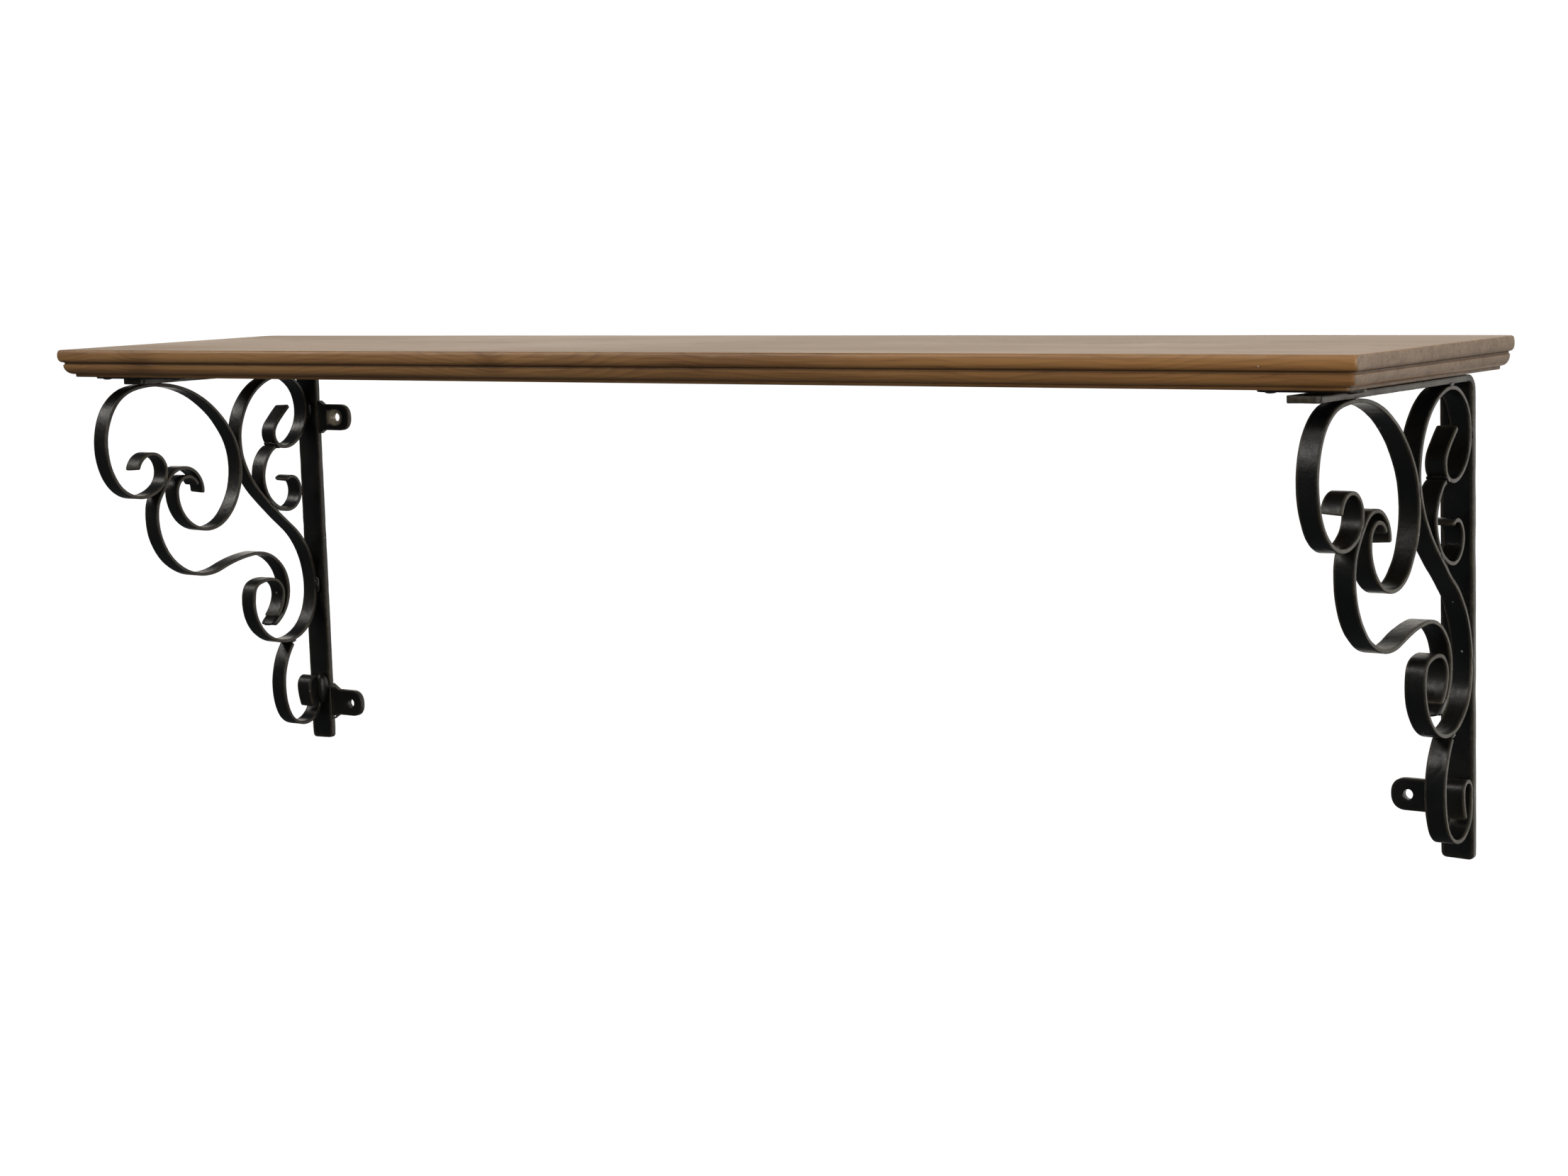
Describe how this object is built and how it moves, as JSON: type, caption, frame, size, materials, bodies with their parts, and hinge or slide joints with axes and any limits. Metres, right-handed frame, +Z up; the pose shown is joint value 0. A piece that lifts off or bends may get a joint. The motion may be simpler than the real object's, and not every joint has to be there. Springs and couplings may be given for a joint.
{
  "type": "wall shelf with brackets",
  "caption": "Wall shelf for display and storage: a plank with a moulded edge, carried on wrought scroll brackets that screw to the wall through small ears",
  "frame": {"origin": "middle of the plank's back edge face, half way along the plank and half way up its thickness", "axes": "+X along the wall and along the plank, +Y into the wall, +Z up; the wall's face is the plane Y = 0 and the whole shelf is at -Y"},
  "size_m": [1.236, 0.258, 0.379],
  "materials": {
    "board": "stained pine, satin wax",
    "iron": "black gloss enamel, worn at the edges",
    "screw": "zinc plated"
  },
  "bodies": {
    "root": {"shelf_board": "board", "left_frame_bar": "iron", "left_scroll_front": "iron", "left_scroll_middle": "iron", "left_scroll_main": "iron", "left_scroll_inner": "iron", "left_scroll_foot": "iron", "left_ear_upper": "iron", "left_ear_lower": "iron", "left_board_plate": "iron", "left_plate_screw_1": "screw", "left_plate_screw_2": "screw", "right_frame_bar": "iron", "right_scroll_front": "iron", "right_scroll_middle": "iron", "right_scroll_main": "iron", "right_scroll_inner": "iron", "right_scroll_foot": "iron", "right_ear_lower": "iron", "right_board_plate": "iron", "right_plate_screw_1": "screw", "right_plate_screw_2": "screw"}
  },
  "joints": []
}
